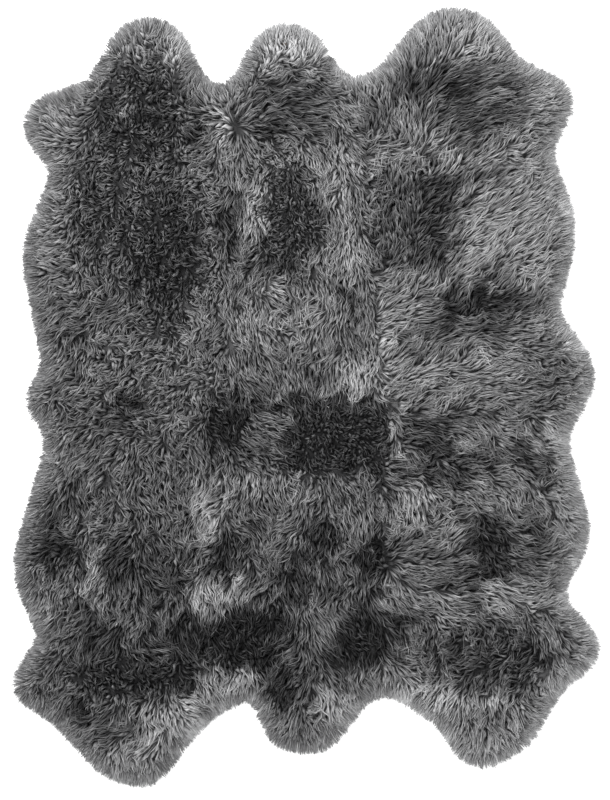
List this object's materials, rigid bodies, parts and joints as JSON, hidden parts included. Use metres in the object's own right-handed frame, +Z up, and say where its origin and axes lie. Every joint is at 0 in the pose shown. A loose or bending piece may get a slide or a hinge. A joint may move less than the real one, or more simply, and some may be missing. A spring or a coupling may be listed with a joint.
{
  "type": "sheepskin shag rug",
  "caption": "Flat shag rug of whole sheepskins sewn edge to edge, with a lobed outline of necks, legs and tails and deep grey wool, laid on a floor for warmth and softness.",
  "frame": {"origin": "on the floor, below the middle of the rug's box", "axes": "+Z up out of the pile, +Y along the rug's length towards the necks, +X across it"},
  "size_m": [1.3884, 1.8372, 0.0529],
  "materials": {
    "fleece": "deep grey wool in silky wisps, darker at the roots",
    "hide": "suede"
  },
  "bodies": {
    "root": {"pelt_upper_left": "fleece", "pelt_upper_centre": "fleece", "pelt_upper_right": "fleece", "pelt_lower_left": "fleece", "pelt_lower_centre": "fleece", "pelt_lower_right": "fleece"}
  },
  "joints": []
}
